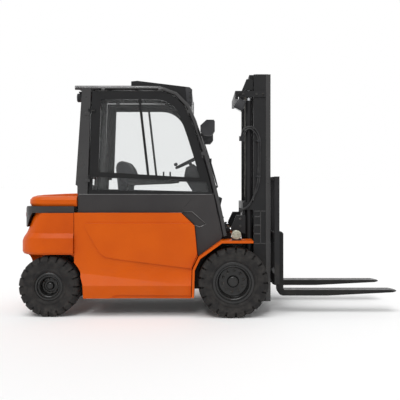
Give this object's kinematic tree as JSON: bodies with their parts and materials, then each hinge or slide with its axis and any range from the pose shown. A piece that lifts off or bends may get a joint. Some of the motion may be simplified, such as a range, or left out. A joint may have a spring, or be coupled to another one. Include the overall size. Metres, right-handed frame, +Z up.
{
  "type": "electric forklift truck",
  "caption": "Four-wheel electric counterbalance forklift with a closed cab, a two-stage lifting mast and a pair of forks.",
  "frame": {"origin": "middle of the truck's footprint, forks included, on the floor it stands on", "axes": "+X forwards along the forks, +Y to the truck's left, +Z up"},
  "size_m": [3.924, 1.4, 2.506],
  "materials": {
    "counterweight_iron": "glossy orange paint on cast iron",
    "orange_panel": "glossy orange paint",
    "guard_steel": "satin dark grey paint",
    "charcoal_panel": "dark grey, fine grain",
    "black_steel": "satin black paint",
    "black_plastic": "black, fine grain",
    "axle_iron": "cast, painted dark grey",
    "battery_case": null,
    "tyre_rubber": "solid black tyre",
    "rim_steel": "satin black paint",
    "window_glass": "clear",
    "lens": "clear lens",
    "amber_lens": "amber lens",
    "seat_fabric": "black cloth",
    "chrome_steel": "hard chrome"
  },
  "bodies": {
    "chassis": {"chassis_frame": "black_steel", "drive_axle": "axle_iron", "steer_axle": "axle_iron", "battery": "battery_case", "counterweight": "counterweight_iron", "rear_trim": "charcoal_panel", "rear_hood": "orange_panel", "roof": "charcoal_panel", "windscreen": "window_glass", "rear_window": "window_glass", "dashboard": "black_plastic", "battery_hood": "black_plastic", "seat_cushion": "seat_fabric", "seat_backrest": "seat_fabric", "armrest": "black_plastic", "beacon": "amber_lens", "rear_lamps": "black_plastic", "side_panel_left": "orange_panel", "side_panel_right": "orange_panel", "front_fender_left": "orange_panel", "front_fender_right": "orange_panel", "marker_lamp_left": "lens", "marker_lamp_right": "lens", "guard_side_left": "guard_steel", "guard_side_right": "guard_steel", "cowl_left": "charcoal_panel", "cowl_right": "charcoal_panel", "headlamp_left": "black_plastic", "headlamp_right": "black_plastic"},
    "steering_wheel": {"steering_wheel": "black_plastic"},
    "mast": {"mast_outer": "black_steel", "mast_hoses": "black_plastic", "lift_cylinder_left": "black_steel", "lift_cylinder_right": "black_steel", "lift_chain_left": "chrome_steel", "lift_chain_right": "chrome_steel"},
    "inner_mast": {"mast_inner": "black_steel", "lift_rod_left": "chrome_steel", "lift_rod_right": "chrome_steel"},
    "carriage": {"fork_carriage": "black_steel", "fork_left": "black_steel", "fork_right": "black_steel"},
    "front_wheel_left": {"front_tyre_left": "tyre_rubber", "front_rim_left": "rim_steel"},
    "rear_wheel_left": {"rear_tyre_left": "tyre_rubber", "rear_rim_left": "rim_steel"},
    "knuckle_left": {"steering_knuckle_left": "axle_iron"},
    "door_left": {"door_left": "black_plastic", "door_glass_left": "window_glass"},
    "tilt_cylinder_left": {"tilt_cylinder_left": "black_steel"},
    "tilt_rod_left": {"tilt_rod_left": "chrome_steel"},
    "front_wheel_right": {"front_tyre_right": "tyre_rubber", "front_rim_right": "rim_steel"},
    "rear_wheel_right": {"rear_tyre_right": "tyre_rubber", "rear_rim_right": "rim_steel"},
    "knuckle_right": {"steering_knuckle_right": "axle_iron"},
    "door_right": {"door_right": "black_plastic", "door_glass_right": "window_glass"},
    "tilt_cylinder_right": {"tilt_cylinder_right": "black_steel"},
    "tilt_rod_right": {"tilt_rod_right": "chrome_steel"}
  },
  "joints": [
    {"name": "front_wheel_left_spin", "type": "hinge", "parent": "chassis", "child": "front_wheel_left", "pos_m": [0.228, 0.545, 0.355], "axis": [0, 1, 0], "continuous": true},
    {"name": "rear_steer_left", "type": "hinge", "parent": "chassis", "child": "knuckle_left", "pos_m": [-1.642, 0.365, 0.308], "axis": [0, 0, 1], "range_deg": [-65, 65]},
    {"name": "rear_wheel_left_spin", "type": "hinge", "parent": "knuckle_left", "child": "rear_wheel_left", "pos_m": [-1.642, 0.515, 0.308], "axis": [0, 1, 0], "continuous": true},
    {"name": "door_left_hinge", "type": "hinge", "parent": "chassis", "child": "door_left", "pos_m": [-1.242, 0.562, 1.4], "axis": [0, 0, 1], "range_deg": [0, 90]},
    {"name": "front_wheel_right_spin", "type": "hinge", "parent": "chassis", "child": "front_wheel_right", "pos_m": [0.228, -0.545, 0.355], "axis": [0, 1, 0], "continuous": true},
    {"name": "rear_steer_right", "type": "hinge", "parent": "chassis", "child": "knuckle_right", "pos_m": [-1.642, -0.365, 0.308], "axis": [0, 0, 1], "range_deg": [-65, 65]},
    {"name": "rear_wheel_right_spin", "type": "hinge", "parent": "knuckle_right", "child": "rear_wheel_right", "pos_m": [-1.642, -0.515, 0.308], "axis": [0, 1, 0], "continuous": true},
    {"name": "door_right_hinge", "type": "hinge", "parent": "chassis", "child": "door_right", "pos_m": [-1.242, -0.562, 1.4], "axis": [0, 0, -1], "range_deg": [0, 90]},
    {"name": "steering_wheel_turn", "type": "hinge", "parent": "chassis", "child": "steering_wheel", "pos_m": [-0.233, 0, 1.6], "axis": [-0.4384, 0, 0.8988], "range_deg": [-880, 880]},
    {"name": "mast_tilt", "type": "hinge", "parent": "chassis", "child": "mast", "pos_m": [0.228, 0, 0.355], "axis": [0, 1, 0], "range_deg": [-10, 6]},
    {"name": "tilt_cylinder_left_swing", "type": "hinge", "parent": "chassis", "child": "tilt_cylinder_left", "pos_m": [-0.137, 0.44, 0.8], "axis": [0, 1, 0], "range_deg": [-4, 2.5]},
    {"name": "tilt_rod_left_slide", "type": "slide", "parent": "tilt_cylinder_left", "child": "tilt_rod_left", "axis": [0.9753, 0, 0.2211], "range_m": [-0.095, 0.058]},
    {"name": "tilt_cylinder_right_swing", "type": "hinge", "parent": "chassis", "child": "tilt_cylinder_right", "pos_m": [-0.137, -0.44, 0.8], "axis": [0, 1, 0], "range_deg": [-4, 2.5]},
    {"name": "tilt_rod_right_slide", "type": "slide", "parent": "tilt_cylinder_right", "child": "tilt_rod_right", "axis": [0.9753, 0, 0.2211], "range_m": [-0.095, 0.058]},
    {"name": "inner_mast_lift", "type": "slide", "parent": "mast", "child": "inner_mast", "axis": [0, 0, 1], "range_m": [-0.08, 1.6], "deforming": ["lift_chain_left", "lift_chain_right"]},
    {"name": "carriage_lift", "type": "slide", "parent": "inner_mast", "child": "carriage", "axis": [0, 0, 1], "range_m": [-0.08, 1.6]}
  ],
  "couplings": [
    {"joint": "rear_steer_right", "follows": "rear_steer_left", "ratio": 1},
    {"joint": "steering_wheel_turn", "follows": "rear_steer_left", "ratio": -13.5},
    {"joint": "tilt_cylinder_left_swing", "follows": "mast_tilt", "ratio": 0.315},
    {"joint": "tilt_rod_left_slide", "follows": "mast_tilt", "m_per_rad": 0.519},
    {"joint": "tilt_cylinder_right_swing", "follows": "mast_tilt", "ratio": 0.315},
    {"joint": "tilt_rod_right_slide", "follows": "mast_tilt", "m_per_rad": 0.519},
    {"joint": "carriage_lift", "follows": "inner_mast_lift", "ratio": 1}
  ]
}
